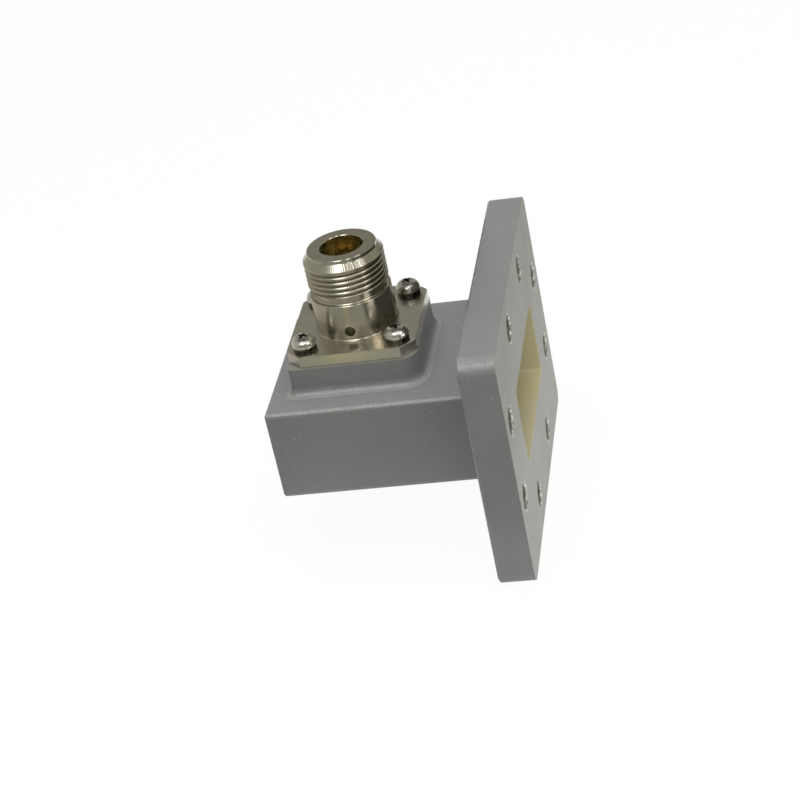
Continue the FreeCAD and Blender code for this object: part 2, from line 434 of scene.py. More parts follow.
class Nodes:
    """The nodes of one material or of the world, from empty."""

    def __init__(self, owner: Owner) -> None:
        """Clear the nodes of a material or world."""
        owner.use_nodes = True
        self.owner = owner
        self.tree = owner.node_tree
        self.tree.nodes.clear()

    def node(self, kind: str, settings: Optional[dict] = None,
             sockets: Optional[dict] = None) -> bpy.types.Node:
        """Add a node.

        Args:
            kind: The node's type.
            settings: Its settings by name, set first.
            sockets: Values or links for its sockets, by name or number.

        Returns:
            The new node.
        """
        made = self.tree.nodes.new(kind)
        for key, value in (settings or {}).items():
            setattr(made, key, value)
        for key, value in (sockets or {}).items():
            source = value.socket if isinstance(value, Wire) else value
            if isinstance(source, Socket):
                self.tree.links.new(source, made.inputs[key])
            elif isinstance(source, tuple) and len(made.inputs[key].default_value) == 4:
                made.inputs[key].default_value = (*source, 1.0)
            else:
                made.inputs[key].default_value = source
        return made

    def maths(self, operation: str, first: Value, second: Value = 0.0) -> Wire:
        """One Math node on two values."""
        made = self.node("ShaderNodeMath", {"operation": operation}, {0: first, 1: second})
        return Wire(self, made.outputs[0])

    def seen(self) -> Wire:
        """1 for a ray from the camera, off metal or through glass, and 0 for light on the object."""
        rays = self.node("ShaderNodeLightPath").outputs
        names = ("Is Camera Ray", "Is Transmission Ray", "Is Glossy Ray")
        camera, through, glossy = (Wire(self, rays[name]) for name in names)
        return camera.most(through).most(glossy)

    def glow(self, tone: Tint, strength: float = 1.0) -> Socket:
        """A shader that only glows."""
        return self.node("ShaderNodeEmission", None, {"Color": tone, "Strength": strength}).outputs[0]

    def blend(self, share: Wire, first: Socket, second: Socket) -> Socket:
        """Mix two shaders by a share."""
        return self.node("ShaderNodeMixShader", None, {0: share, 1: first, 2: second}).outputs[0]

    def end(self, surface: Socket) -> Owner:
        """End in a shader.

        Args:
            surface: The shader's socket.

        Returns:
            The finished material or world.
        """
        in_world = isinstance(self.owner, bpy.types.World)
        kind = "ShaderNodeOutputWorld" if in_world else "ShaderNodeOutputMaterial"
        self.node(kind, None, {"Surface": surface})
        return self.owner


class Graph(Nodes):
    """The nodes of one material, and the object's own coordinates in millimetres."""

    def __init__(self, name: str) -> None:
        """Start an empty material of this name."""
        super().__init__(bpy.data.materials.new(name))
        metres = self.node("ShaderNodeTexCoord").outputs["Object"]
        sockets = {0: metres, "Scale": MILLIMETRES}
        self.place = self.node("ShaderNodeVectorMath", {"operation": "SCALE"}, sockets).outputs[0]
        parts = self.node("ShaderNodeSeparateXYZ", None, {0: self.place}).outputs
        self.x, self.y, self.z = (Wire(self, part) for part in parts)

    def noise(self, per_mm: float, detail: float = 2.0, rough: float = 0.5,
              stretch: Optional[Place] = None) -> Wire:
        """Soft noise.

        Args:
            per_mm: How many features there are in a millimetre.
            detail: How many finer layers it has.
            rough: How strong the finer layers are.
            stretch: How much closer they are along each axis, if not the same along all.

        Returns:
            The noise, about 0.5 on average.
        """
        place = self.place
        if stretch:
            sockets = {0: place, 1: Vector(stretch)}
            place = self.node("ShaderNodeVectorMath", {"operation": "MULTIPLY"}, sockets).outputs[0]
        sockets = {"Vector": place, "Scale": per_mm, "Detail": detail, "Roughness": rough}
        return Wire(self, self.node("ShaderNodeTexNoise", None, sockets).outputs[0])

    def near_lines(self, y: float, z: float, reach: float, full: float) -> Wire:
        """Near the four lines along X at these offsets: 0 past reach and 1 within full.

        Args:
            y: How far the lines are from the XZ plane.
            z: How far they are from the XY plane.
            reach: Where the step starts, in millimetres from a line.
            full: Where it ends.

        Returns:
            The step, between 0 and 1.
        """
        first = abs(self.y) - y
        second = abs(self.z) - z
        return (first * first + second * second).rise(reach ** 2, full ** 2)

    def specks(self, per_mm: float, share: float, size: float) -> Wire:
        """Round specks scattered over the surface.

        Args:
            per_mm: How many cells there are in a millimetre.
            share: The share of cells that hold a speck.
            size: A speck's radius as a share of a cell.

        Returns:
            1 inside a speck and 0 outside.
        """
        cells = self.node("ShaderNodeTexVoronoi", None, {"Vector": self.place, "Scale": per_mm}).outputs
        drawn = self.node("ShaderNodeSeparateColor", None, {0: cells["Color"]}).outputs[0]
        chosen = Wire(self, drawn).rise(1.0 - share, 1.001 - share)
        return Wire(self, cells["Distance"]).rise(size, size * 0.5) * chosen

    def mix(self, share: Value, first: Tint, second: Tint) -> Socket:
        """Mix two colours by a share."""
        made = self.node("ShaderNodeMix", {"data_type": "RGBA"}, {0: share, 6: first, 7: second})
        return made.outputs[2]

    def bump(self, height: Wire, depth: float) -> Socket:
        """A bumped normal from a height of 0 to 1 and its depth in millimetres."""
        return self.node("ShaderNodeBump", None, {"Height": height, "Distance": depth * METRES}).outputs[0]

    def finish(self, **sockets: Union[Value, Tint]) -> Material:
        """End the graph in one principled shader.

        Args:
            sockets: The shader's sockets, with _ for a space.

        Returns:
            The finished material.
        """
        named = {key.replace("_", " "): value for key, value in sockets.items()}
        return self.end(self.node("ShaderNodeBsdfPrincipled", None, named).outputs[0])


# Finishes


class Finish:
    """What a piece is made of or covered with."""

    def material(self) -> Material:
        """Build the material."""
        raise NotImplementedError


@dataclass(frozen=True)
class PaintedCasting(Finish):
    """Satin grey paint on the casting, with bare and yellow-passivated metal where none is."""

    paint: Colour = colour_of(125, 125, 126)
    # Pale colour for the paint's random flecks and for the painted highlight along the edges
    fleck_and_highlight: Colour = colour_of(198, 198, 195)
    bare: Colour = colour_of(159, 160, 154)
    # Bare metal in painted shade, used towards the top
    bare_shaded: Colour = colour_of(124, 124, 115)
    # Bolt-hole walls darkened as painted shade, with lighter random mottle, and the pale of the painted
    # glints on their rims
    drilled_shaded: Colour = colour_of(152, 152, 143)
    drilled_light: Colour = colour_of(190, 190, 179)
    rim_glint: Colour = colour_of(226, 226, 216)
    yellow: Colour = colour_of(207, 197, 153)
    yellow_pale: Colour = colour_of(205, 198, 164)
    box_side: float = 19.475
    box_top: float = 9.4
    flange_side: float = 34.14
    flange_top: float = 24.6
    pad_top: float = 15.24
    pad_end: float = -17.0
    mouth_half_width: float = 17.48
    mouth_half_height: float = 7.96
    mouth_end: float = -44.7
    bolt_reach: float = 2.98
    bolts: tuple[Point, Point] = ((11.9, 18.65), (28.17, 8.33))
    mating_face: Point = (-0.09, -0.05)
    hole_rim: Point = (-0.42, -0.34)
    foot_low: Point = (9.44, 9.54)
    foot_high: Point = (10.25, 9.9)
    foot_end: Point = (-7.6, -8.4)

    def machined(self, graph: Graph) -> Wire:
        """Where the casting is machined flat and unpainted: mating face and pad top."""
        face = graph.x.rise(*self.mating_face)
        above = graph.z.rise(self.pad_top - 0.05, self.pad_top - 0.02)
        return face.most(above * graph.x.rise(self.pad_end, self.pad_end - 0.1))

    def in_holes(self, graph: Graph) -> Wire:
        """Where the surface is inside a bolt hole or on its chamfer."""
        first, second = (
            graph.near_lines(y, z, self.bolt_reach, self.bolt_reach - 0.02) for y, z in self.bolts
        )
        return first.most(second)

    def near_edges(self, graph: Graph) -> Wire:
        """Near the box's long edges, the flange's corners and the pad's foot, where a pale band and sparkle
        are painted on as highlight.
        """
        foot = graph.z.rise(*self.foot_low) * graph.z.rise(*self.foot_high)
        edge_highlight = foot * graph.x.rise(*self.foot_end)
        for side, top, inset, reach, share in (
            (self.box_side, self.box_top, 0.18, 0.8, 1.0),
            (self.flange_side, self.flange_top, 0.73, 2.6, 0.5),
        ):
            near = graph.near_lines(side - inset, top - inset, reach, 0.4 * reach)
            edge_highlight = edge_highlight.most(near * share)
        return edge_highlight

    def in_mouth(self, graph: Graph) -> Wire:
        """Where the surface is inside the waveguide."""
        wide = abs(graph.y).rise(self.mouth_half_width, self.mouth_half_width - 0.02)
        high = abs(graph.z).rise(self.mouth_half_height, self.mouth_half_height - 0.02)
        return wide * high * graph.x.rise(self.mouth_end - 1.0, self.mouth_end)

    def material(self) -> Material:
        """Build the material.

        Returns:
            The casting's material.
        """
        graph = Graph("painted_casting")
        holes = self.in_holes(graph)
        mouth = self.in_mouth(graph)
        bare = self.machined(graph)
        metal = bare.most(mouth).most(holes)
        painted = 1.0 - metal
        cloud = graph.noise(0.09, 3.0)
        peel = graph.noise(0.75, 2.0, 0.45)
        grain = graph.noise(3.0, 2.0, 0.55)
        flecks = graph.specks(0.62, 0.16, 0.12).most(graph.specks(1.35, 0.12, 0.2))
        # Painted highlight along the edges and the pad's foot: pale sparkle specks and a pale band, mixed
        # with the random flecks into the pale colour
        edge_highlight = self.near_edges(graph)
        sparkle = graph.specks(2.3, 0.55, 0.34).most(graph.specks(3.4, 0.6, 0.36)) * edge_highlight
        lathe = graph.noise(1.0, 4.0, 0.6, (1.0, 0.35, 3.2))
        tone = graph.mix(cloud.rise(0.3, 0.7), self.paint, darker(self.paint, 0.94))
        light = (flecks * (0.4 + 0.5 * cloud)).most(sparkle * 0.7).most(edge_highlight * 0.16)
        tone = graph.mix(light, tone, self.fleck_and_highlight)
        # Painted shade: the bare metal darker towards the top, with some random mottle
        top_shade_and_mottle = graph.z.rise(-20.0, 26.0) * 0.75 + 0.2 * cloud.rise(0.35, 0.65)
        bare_tone = graph.mix(top_shade_and_mottle, self.bare, self.bare_shaded)
        # Bolt holes: walls darkened as painted shade with random mottle, and painted glints as pale specks
        # on the chamfered rims
        drilled_tone = graph.mix(graph.noise(0.9, 2.0).rise(0.5, 0.68), self.drilled_shaded, self.drilled_light)
        rim_glints = graph.mix(graph.noise(1.1, 2.0).rise(0.4, 0.66), bare_tone, self.rim_glint)
        drilled_tone = graph.mix(graph.x.rise(*self.hole_rim), drilled_tone, rim_glints)
        bare_tone = graph.mix(holes, bare_tone, drilled_tone)
        yellow_tone = graph.mix(graph.noise(0.16, 3.0).rise(0.35, 0.65), self.yellow, self.yellow_pale)
        colour = graph.mix(metal, tone, graph.mix(mouth, bare_tone, yellow_tone))
        bright = holes * 0.4
        shiny = (bare.most(holes) - mouth).most(0.0) * 0.35 + mouth * 0.1 + bright * 0.5
        rough = painted * (0.28 + 0.12 * grain - 0.08 * flecks)
        rough = rough + metal * (0.46 + 0.14 * lathe - bright * 0.5)
        height = painted * (0.4 * peel + 0.45 * grain + 0.5 * flecks + 0.6 * sparkle)
        height = height + metal * (0.07 * lathe + 0.15 * holes * grain)
        return graph.finish(
            Base_Color=colour,
            Metallic=shiny,
            Roughness=rough,
            Specular_IOR_Level=0.9,
            Normal=graph.bump(height, 0.08),
        )


@dataclass(frozen=True)
class NickelPlate(Finish):
    """Bright warm nickel with faint turning marks, chatter and handling haze, and painted shade in the
    thread's grooves.
    """

    tone: Colour = colour_of(188, 184, 171)
    haze: Colour = colour_of(172, 167, 150)
    bore: Colour = colour_of(242, 234, 186)
    bore_deep: Colour = colour_of(214, 200, 142)
    # Colour of the thread's grooves, a little darker: painted shade
    groove: Colour = colour_of(186, 182, 168)
    plate: Colour = colour_of(206, 202, 192)
    bore_radius: float = 4.3
    bore_top: Point = (34.15, 33.9)
    barrel_low: Point = (17.7, 17.9)
    thread_low: Point = (26.4, 26.8)
    thread_high: Point = (33.45, 33.4)
    groove_high: Point = (32.3, 32.1)
    groove_reach: Point = (7.85, 7.55)
    duller_below: Point = (27.0, 26.7)
    chatter_count: float = 115.0

    def material(self) -> Material:
        """Build the material.

        Returns:
            The jack shell's material.
        """
        graph = Graph("nickel_plate")
        across = graph.x - JACK_X
        angle = graph.maths("ARCTAN2", graph.y, across)
        chatter = graph.maths("SINE", angle * self.chatter_count) * 0.5 + 0.5
        above_plate = graph.z.rise(*self.barrel_low)
        threaded = graph.z.rise(*self.thread_low) * graph.z.rise(*self.thread_high)
        haze = graph.noise(0.22, 4.0, 0.6)
        grain = graph.noise(6.0, 2.0, 0.6)
        marks = graph.noise(1.0, 3.0, 0.6, (0.25, 0.25, 14.0))
        turning = above_plate * (1.0 - 0.85 * threaded)
        height = turning * marks * 0.35 + threaded * chatter * 1.4 + grain * 0.12
        plain = graph.z.rise(*self.duller_below)
        rough = 0.12 + 0.08 * haze.rise(0.35, 0.7) + 0.05 * grain + 0.07 * plain
        colour = graph.mix(haze.rise(0.4, 0.75), self.tone, self.haze)
        flat = graph.z.rise(JACK_DATUM + 0.06, JACK_DATUM + 0.02)
        colour = graph.mix(flat * (1.0 - 0.4 * haze), colour, self.plate)
        reach = across * across + graph.y * graph.y
        inside = reach.rise(self.bore_radius ** 2, (self.bore_radius - 0.08) ** 2)
        inside = inside * graph.z.rise(*self.bore_top)
        streaks = graph.noise(1.0, 2.0, 0.6, (0.9, 0.9, 0.04)).rise(0.4, 0.62)
        colour = graph.mix(inside, colour, graph.mix(streaks, self.bore, self.bore_deep))
        # Painted shade: the nickel a little darker in the thread's grooves
        outer, inner = self.groove_reach
        deep = reach.rise(outer ** 2, inner ** 2) * threaded * (1.0 - inside)
        deep = deep * graph.z.rise(*self.groove_high)
        colour = graph.mix(deep, colour, self.groove)
        return graph.finish(
            Base_Color=colour,
            Metallic=1.0,
            Roughness=rough,
            Anisotropic=0.6,
            Anisotropic_Rotation=0.25,
            Normal=graph.bump(height, 0.006),
        )


@dataclass(frozen=True)
class Metal(Finish):
    """A plain metal with grain, haze and small dark specks."""

    name: str
    tone: Colour
    shade: Colour
    roughness: float
    grain_per_mm: float = 5.0
    depth: float = 0.006

    def material(self) -> Material:
        """Build the material.

        Returns:
            A metal of this tone.
        """
        graph = Graph(self.name)
        haze = graph.noise(0.8, 3.0, 0.6)
        grain = graph.noise(self.grain_per_mm, 3.0, 0.6)
        pits = graph.specks(2.6, 0.2, 0.22)
        colour = graph.mix((haze.rise(0.35, 0.7) + pits * 0.5).least(1.0), self.tone, self.shade)
        rough = self.roughness * (0.75 + 0.5 * haze) + 0.08 * grain
        height = grain * 0.8 - pits * 0.4
        return graph.finish(
            Base_Color=colour, Metallic=1.0, Roughness=rough, Normal=graph.bump(height, self.depth)
        )


@dataclass(frozen=True)
class CuredResin(Finish):
    """Dark brown cured resin with a wet-looking, uneven surface, and a painted highlight as an amber spot
    in its middle.
    """

    deep: Colour = colour_of(34, 31, 11)
    amber: Colour = colour_of(96, 85, 36)
    height: float = 19.54

    def material(self) -> Material:
        """Build the material.

        Returns:
            The plug's material.
        """
        graph = Graph("dark_filling")
        swirl = graph.noise(1.1, 3.0, 0.6)
        grain = graph.noise(5.0, 2.0, 0.5)
        across = graph.x - JACK_X
        along = graph.z - self.height
        # Painted highlight: an amber spot in the plug's middle
        centre_glint = (across * across + along * along).rise(0.6, 0.1)
        colour = graph.mix((swirl.rise(0.5, 0.8) * 0.6).most(centre_glint * 0.9), self.deep, self.amber)
        return graph.finish(
            Base_Color=colour, Roughness=0.1 + 0.12 * grain, Normal=graph.bump(swirl + 0.3 * grain, 0.06)
        )


@dataclass(frozen=True)
class WaxyWhite(Finish):
    """The sleeve's white dielectric: waxy, with faint turning marks."""

    tone: Colour = colour_of(232, 231, 224)
    shade: Colour = colour_of(214, 211, 198)

    def material(self) -> Material:
        """Build the material.

        Returns:
            The sleeve's material.
        """
        graph = Graph("white_dielectric")
        haze = graph.noise(0.7, 3.0)
        marks = graph.noise(1.0, 2.0, 0.5, (0.6, 0.6, 9.0))
        colour = graph.mix(haze.rise(0.35, 0.7), self.tone, self.shade)
        return graph.finish(
            Base_Color=colour, Roughness=0.42 + 0.14 * marks, Normal=graph.bump(marks, 0.01)
        )


@dataclass(frozen=True)
class StudioPaper(Finish):
    """The pale floor: white to the camera and in metal, with the object's shadow left on it."""

    tone: Colour = (0.42, 0.42, 0.42)
    white_share: float = 0.9
    glow: float = 1.06

    def material(self) -> Material:
        """Build the material.

        Returns:
            The floor's material.
        """
        graph = Graph("studio_paper")
        colour = graph.mix(graph.noise(0.05), self.tone, darker(self.tone, 0.985))
        matt = graph.node("ShaderNodeBsdfDiffuse", None, {"Color": colour}).outputs[0]
        return graph.end(graph.blend(graph.seen() * self.white_share, matt, graph.glow(WHITE, self.glow)))


@dataclass(frozen=True)
class CardPaper(Finish):
    """A card that glows, a little unevenly."""

    name: str
    tone: Colour

    def material(self) -> Material:
        """Build the card's material."""
        graph = Graph(self.name)
        return graph.end(graph.glow(graph.mix(graph.noise(0.004), self.tone, darker(self.tone, 0.8))))


@dataclass(frozen=True)
class BlindSlats(Finish):
    """Upright slats across a card's width, with narrow clear gaps."""

    slats: float = 2.2
    tone: Colour = (0.45, 0.44, 0.39)

    def material(self) -> Material:
        """Build the material.

        Returns:
            The blind's material.
        """
        graph = Graph("blind_slats")
        wave = graph.maths("SINE", graph.x * (FULL_TURN * self.slats / MILLIMETRES))
        clear = graph.node("ShaderNodeBsdfTransparent").outputs[0]
        return graph.end(graph.blend(wave.rise(-0.95, -0.7), clear, graph.glow(self.tone)))


# Sub-assemblies


class Assembly:
    """A remodelled part of the adapter: its pieces, their finishes and the CAD node they replace."""

    slot: str
    node: str
    finishes: tuple[Finish, ...]

    def pieces(self) -> list[Piece]:
        """Make the pieces, in their places and in metres."""
        raise NotImplementedError

    def build(self) -> None:
        """Make the pieces, give each its materials and its body, and hide the CAD node they stand for."""
        pieces = self.pieces()
        materials = [finish.material() for finish in self.finishes]
        for piece in pieces:
            slots = piece.data.materials
            for index, material in enumerate(materials):
                if index < len(slots):
                    slots[index] = material
                else:
                    slots.append(material)
            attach(piece, BODY)
            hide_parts(self.node)
            LOG.info("%s: %d faces", piece.name, len(piece.data.polygons))


@dataclass
class Casting(Assembly):
    """The painted casting, from a copy of its CAD node with its sharp edges broken."""

    slot: str = "painted_casting"
    node: str = "waveguide_body"
    finishes: tuple[Finish, ...] = (PaintedCasting(),)
    edge_break: float = 0.12
    sharp: float = 34.0
    flat: float = 0.4
    pad_level: float = 15.2
    cavity_half_width: float = 17.6
    cavity_half_height: float = 8.1

    def breaks(self, edge: Edge) -> bool:
        """Whether an edge is sharp, and on the outside or round the mouth, where it shows."""
        at = middle(edge)
        beside = abs(at.y) > self.cavity_half_width or abs(at.z) > self.cavity_half_height
        shows = beside or at.x > -0.01 or at.z > self.pad_level
        return shows and edge.is_manifold and edge.calc_face_angle() > math.radians(self.sharp)

    def pieces(self) -> list[Piece]:
        """Copy the node, merge it, clear its flat faces and break its sharp edges.

        Returns:
            The casting, alone in its list.
        """
        made = copy_of(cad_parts[self.node], "casting")
        made.scale = (MILLIMETRES, MILLIMETRES, MILLIMETRES)
        fix(made)
        tidy_normals(made, MERGE)
        edit(made, everything=True)
        bpy.ops.mesh.dissolve_limited(angle_limit=math.radians(self.flat))
        LOG.info("casting: %d edges broken", pick(Part.EDGE, self.breaks))
        bpy.ops.mesh.bevel(offset=self.edge_break, segments=2, affect="EDGES", clamp_overlap=True)
        done()
        even_shading(made)
        settle(made, ORIGIN)
        return [made]


@dataclass
class JackShell(Assembly):
    """The jack's shell: clipped flange, turned barrel, threaded sleeve and bore.

    Heights are above the top of the jack's own flange.
    """

    slot: str = "nickel_plate"
    node: str = "jack_shell"
    finishes: tuple[Finish, ...] = (NickelPlate(),)
    side: float = 25.4
    plate: float = 2.4
    clip: float = 2.8
    plate_edge: float = 0.12
    screw_hole: float = 1.4
    collar: float = 1.5
    edge: float = 0.1
    barrel: float = 8.0
    barrel_top: float = 7.35
    neck: float = 7.1
    thread_start: float = 9.0
    thread_end: float = 15.77
    major: float = 7.9
    lead_height: float = 1.1
    lead_depth: float = 1.0
    rim: float = 6.8
    rim_top: float = 16.58
    mouth: float = 4.23
    mouth_edge: float = 0.15
    mouth_depth: float = 9.1
    line: float = 3.5
    sleeve: float = 3.95
    sleeve_top: float = 5.5
    cross_hole: float = 1.05
    cross_height: float = 1.9
    pitch: float = 1.058
    groove: tuple[Point, ...] = (
        (0.6, 0.09), (0.19, 0.268), (0.13, 0.33), (0.03, 0.43), (0.0, 0.475), (-0.01, 0.515)
    )
    groove_start: float = 8.95
    groove_turns: int = 5
    groove_angle: float = 70.0
    groove_steps: int = 96
    bore_steps: int = 96
    hole_steps: int = 48
    steps: int = 128

    def outline(self) -> list[Point]:
        """The turned section, from the plate's underside round the outside and back down the bore."""
        low, edge, lip = -self.plate / 2, self.edge, self.mouth_edge
        sleeve, collar = self.sleeve, self.sleeve + self.collar
        barrel, neck, major, rim, mouth = self.barrel, self.neck, self.major, self.rim, self.mouth
        shoulder, start, end, top = self.barrel_top, self.thread_start, self.thread_end, self.rim_top
        bottom = top - self.mouth_depth
        return [
            (sleeve, -self.plate), (collar, -self.plate), (collar, low), (barrel + 0.2, low),
            (barrel + 0.2, -0.02), (barrel + 0.06, 0.12), (barrel, 0.3),
            (barrel, shoulder - edge), (barrel - edge, shoulder),
            (neck + 0.2, shoulder), (neck + 0.06, shoulder + 0.14), (neck, shoulder + 0.34),
            (neck, start - edge), (neck + edge, start), (major - 0.24, start), (major, start + 0.24),
            (major, end - self.lead_height), (major - self.lead_depth, end),
            (rim, end + edge), (rim, top - edge), (rim - edge, top), (mouth + lip, top), (mouth, top - lip),
            (mouth, bottom), (self.line, bottom), (self.line, self.sleeve_top), (sleeve, self.sleeve_top),
        ]

    def groove_cutter(self) -> Piece:
        """The helical cutter that leaves the thread's ridges with rounded crests.

        Returns:
            The cutter.
        """
        upper = [(self.major - depth, half) for depth, half in self.groove]
        upper.append((self.major + 0.13, upper[-1][1]))
        outline = [(radius, -half) for radius, half in reversed(upper)] + upper
        made = chain("groove", outline, True)
        settings = {
            "angle": FULL_TURN,
            "screw_offset": self.pitch,
            "iterations": self.groove_turns,
            "steps": self.groove_steps,
            "render_steps": self.groove_steps,
            "axis": "Z",
            "use_smooth_shade": False,
        }
        apply(made, "SCREW", settings)
        edit(made, everything=True)
        bpy.ops.transform.translate(value=(0.0, 0.0, self.groove_start))
        bpy.ops.mesh.select_mode(type="EDGE")
        bpy.ops.mesh.select_all(action="DESELECT")
        bpy.ops.mesh.select_non_manifold()
        bpy.ops.mesh.fill_holes(sides=len(outline))
        done()
        tidy_normals(made)
        made.rotation_euler = (0.0, 0.0, math.radians(self.groove_angle))
        return fix(made)

    def flange(self) -> Piece:
        """The clipped plate, its edges broken.

        Returns:
            The plate.
        """
        size = (self.side, self.side, self.plate)
        made = block("jack_shell_dressed", size, (0.0, 0.0, -self.plate / 2))
        edit(made)
        for test, offset, segments in (
            (upright, self.clip, 1),
            (lambda edge: not upright(edge), self.plate_edge, 2),
            (lambda edge: upright(edge) and edge.calc_length() > self.plate / 2, self.plate_edge * 0.6, 2),
        ):
            pick(Part.EDGE, test)
            bpy.ops.mesh.bevel(offset=offset, segments=segments, affect="EDGES")
        return done()

    def pieces(self) -> list[Piece]:
        """Join the plate and the turned shell, then cut the bore, the holes and the thread.

        Returns:
            The shell, alone in its list.
        """
        made = self.flange()
        low = -self.plate - OVERCUT
        depth = self.plate + 2 * OVERCUT
        join(made, rod("bore", self.sleeve + 0.5, (0.0, 0.0, low), depth, self.bore_steps), Join.CUT)
        join(made, turned("sleeve", self.outline(), self.steps, True), Join.ADD)
        for i, j in CORNERS:
            at = (i * SCREW_SPACING / 2, j * SCREW_SPACING / 2, low)
            join(made, rod("screw_hole", self.screw_hole, at, depth, self.hole_steps), Join.CUT)
        cross_hole = rod("cross_hole", self.cross_hole, ORIGIN, self.barrel + OVERCUT, self.hole_steps)
        cross_hole.rotation_euler = (QUARTER_TURN, 0.0, 0.0)
        cross_hole.location = (0.0, 0.0, self.cross_height)
        join(made, fix(cross_hole), Join.CUT)
        join(made, self.groove_cutter(), Join.CUT)
        tidy_normals(made, MERGE)
        even_shading(made)
        settle(made, (JACK_X, 0.0, JACK_DATUM))
        return [made]


@dataclass
class Screws(Assembly):
    """The four pan-head screws that hold the jack."""

    slot: str = "screw_steel"
    node: str = "connector_screws"
    finishes: tuple[Finish, ...] = (
        Metal("screw_steel", colour_of(230, 230, 224), colour_of(196, 195, 187), 0.2, 4.0, 0.008),
        # Dark steel inside the cross recess: painted shade
        Metal("recess_painted_shade", colour_of(58, 57, 52), colour_of(34, 33, 30), 0.5, 4.0, 0.01),
    )
    seat: float = 18.44
    shank: float = 1.25
    length: float = 8.0
    head: float = 2.42
    height: float = 2.05
    side: float = 0.42
    bulge: float = 0.85
    recess_span: float = 2.9
    recess_width: float = 0.85
    recess_depth: float = 1.2
    recess_taper: float = 0.45
    edge: float = 0.035
    sharp: float = 50.0
    dome_steps: int = 10
    steps: int = 64
    turns: tuple[float, ...] = (-16.0, 52.0, 20.0, 38.0)

    def outline(self) -> list[Point]:
        """The screw's section: shank, seat, side and the domed top."""
        points = [(0.0, -self.length), (self.shank - 0.25, -self.length), (self.shank, -self.length + 0.25)]
        points += [(self.shank, 0.0), (self.head - 0.12, 0.0), (self.head, 0.12), (self.head, self.side)]
        rise = self.height - self.side
        for step in range(1, self.dome_steps):
            turn = QUARTER_TURN * step / self.dome_steps
            points.append((self.head * math.cos(turn) ** self.bulge, self.side + rise * math.sin(turn)))
        points.append((0.0, self.height))
        return points

    def recess(self) -> Piece:
        """The cross recess's cutter, its arms drawn in towards the bottom.

        Returns:
            The cutter.
        """
        depth = self.recess_depth + OVERCUT
        place = (0.0, 0.0, self.height + OVERCUT - depth / 2)
        taper = (self.recess_taper, self.recess_taper, 1.0)
        arms = []
        for size in ((self.recess_span, self.recess_width), (self.recess_width, self.recess_span)):
            arm = block("arm", (*size, depth), place)
            edit(arm)
            pick(Part.FACE, lambda face: face.normal.z < -0.9)
            bpy.ops.transform.resize(value=taper, center_override=ORIGIN)
            done()
            arms.append(arm)
        join(arms[0], arms[1], Join.ADD)
        return arms[0]

    def mark_recess(self, screw: Piece) -> None:
        """Put the faces inside the cross recess in a material slot of their own, whose dark steel is
        painted shade.
        """
        take(screw)
        bpy.ops.object.material_slot_add()
        bpy.ops.object.material_slot_add()
        edit(screw)
        reach = self.recess_span / 2 + 0.02
        screw.active_material_index = 1
        pick(Part.FACE, lambda face: self.in_recess(face.calc_center_median(), reach))
        bpy.ops.object.material_slot_assign()
        done()

    def in_recess(self, at: Vector, reach: float) -> bool:
        """Whether a place on the screw is inside its recess, below the domed top."""
        across = math.hypot(at.x, at.y)
        if across > reach or at.z < self.side:
            return False
        share = (across / self.head) ** (1.0 / self.bulge)
        dome = self.side + (self.height - self.side) * math.sqrt(1.0 - share * share)
        return at.z < dome - 0.07

    def pieces(self) -> list[Piece]:
        """Turn one screw, cut its recess and copy it to the four places.

        Returns:
            The four screws.
        """
        first = turned("screw_1", self.outline(), self.steps)
        join(first, self.recess(), Join.CUT)
        limit = math.radians(self.sharp)
        settings = {"width": self.edge, "segments": 2, "limit_method": "ANGLE", "angle_limit": limit}
        apply(first, "BEVEL", settings)
        smooth(first, DOMED_BELOW)
        self.mark_recess(first)
        return at_screws(first, "screw", self.seat, self.turns)


@dataclass
class Washers(Assembly):
    """The four split spring washers under the screws' heads."""

    slot: str = "dark_steel"
    node: str = "spring_washers"
    finishes: tuple[Finish, ...] = (
        Metal("dark_steel", colour_of(108, 106, 98), colour_of(56, 54, 49), 0.26, 6.0, 0.012),
    )
    bore: float = 1.35
    radius: float = 2.3
    thickness: float = 0.8
    gap: float = 0.5
    lean: float = 35.0
    turn: float = 40.0
    edge: float = 0.07
    steps: int = 64

    def pieces(self) -> list[Piece]:
        """Turn one ring, split it and copy it to the four places.

        Returns:
            The four washers.
        """
        bore, radius, top, edge = self.bore, self.radius, self.thickness, self.edge
        outline = [
            (bore, edge), (bore + edge, 0.0), (radius - edge, 0.0), (radius, edge),
            (radius, top - edge), (radius - edge, top), (bore + edge, top), (bore, top - edge),
        ]
        first = turned("washer_1", outline, self.steps, True)
        depth = self.radius + OVERCUT
        split = block("split", (self.gap, depth, self.thickness * 4))
        turn = math.radians(self.turn)
        split.rotation_euler = (0.0, math.radians(self.lean), turn)
        split.location = (depth / 2 * math.sin(turn), -depth / 2 * math.cos(turn), self.thickness / 2)
        join(first, fix(split), Join.CUT)
        smooth(first, SMOOTH_BELOW)
        return at_screws(first, "washer", JACK_DATUM, (0.0, 0.0, 0.0, 0.0))


